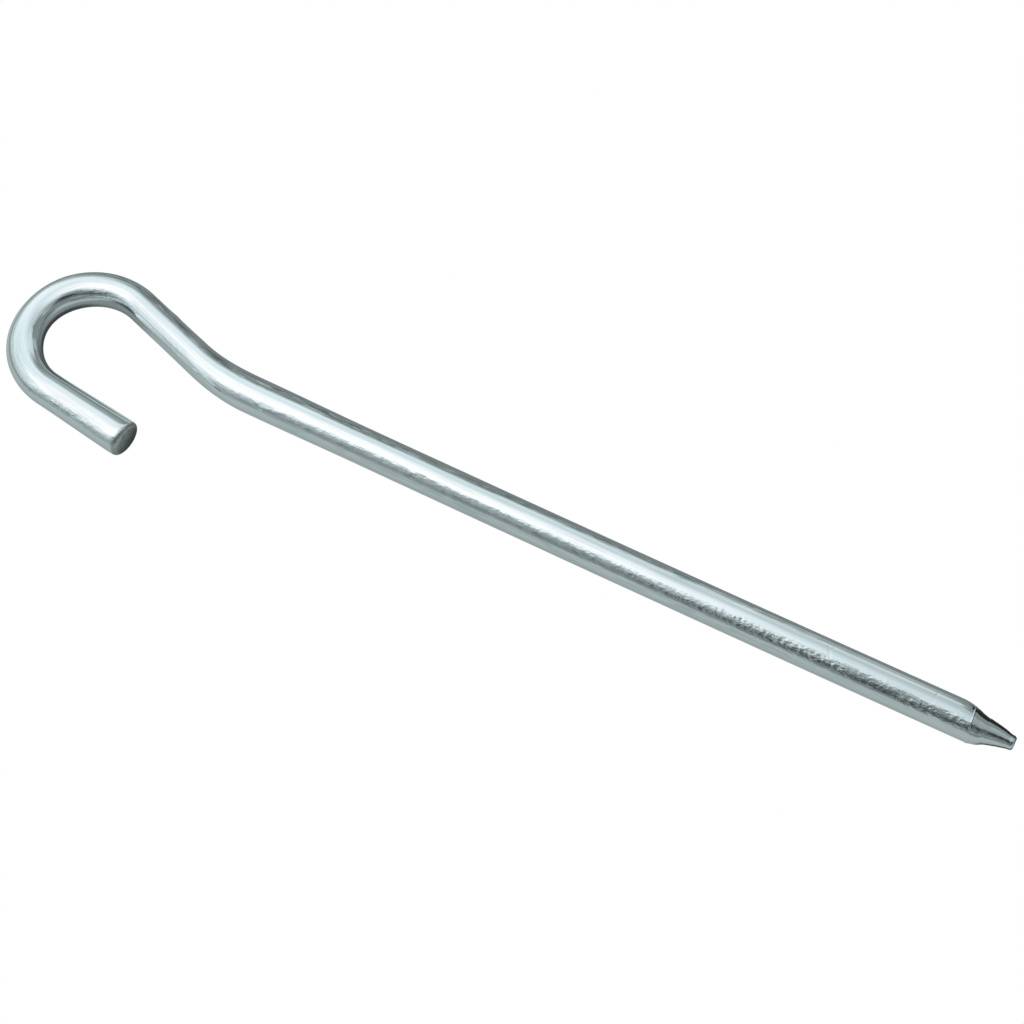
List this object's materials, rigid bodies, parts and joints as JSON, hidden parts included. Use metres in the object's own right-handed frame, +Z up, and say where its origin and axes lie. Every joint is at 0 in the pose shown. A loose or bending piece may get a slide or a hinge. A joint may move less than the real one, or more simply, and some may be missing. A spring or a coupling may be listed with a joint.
{
  "type": "tent stake",
  "caption": "Straight round-wire tent stake with a blunt turned point, a counter-bent neck and an open hook that holds a guy line or a peg loop.",
  "frame": {"origin": "middle of the underside of the stake's bounding box, with the stake lying flat", "axes": "+X along the shank towards the driven point, +Z up and square to the plane of the bends, the hook opens towards -Y"},
  "size_m": [0.1734, 0.029, 0.006],
  "materials": {
    "bright_metal": "bright drawn wire, lightly polished, with fine lengthwise draw lines"
  },
  "bodies": {
    "root": {"stake_rod": "bright_metal"}
  },
  "joints": []
}
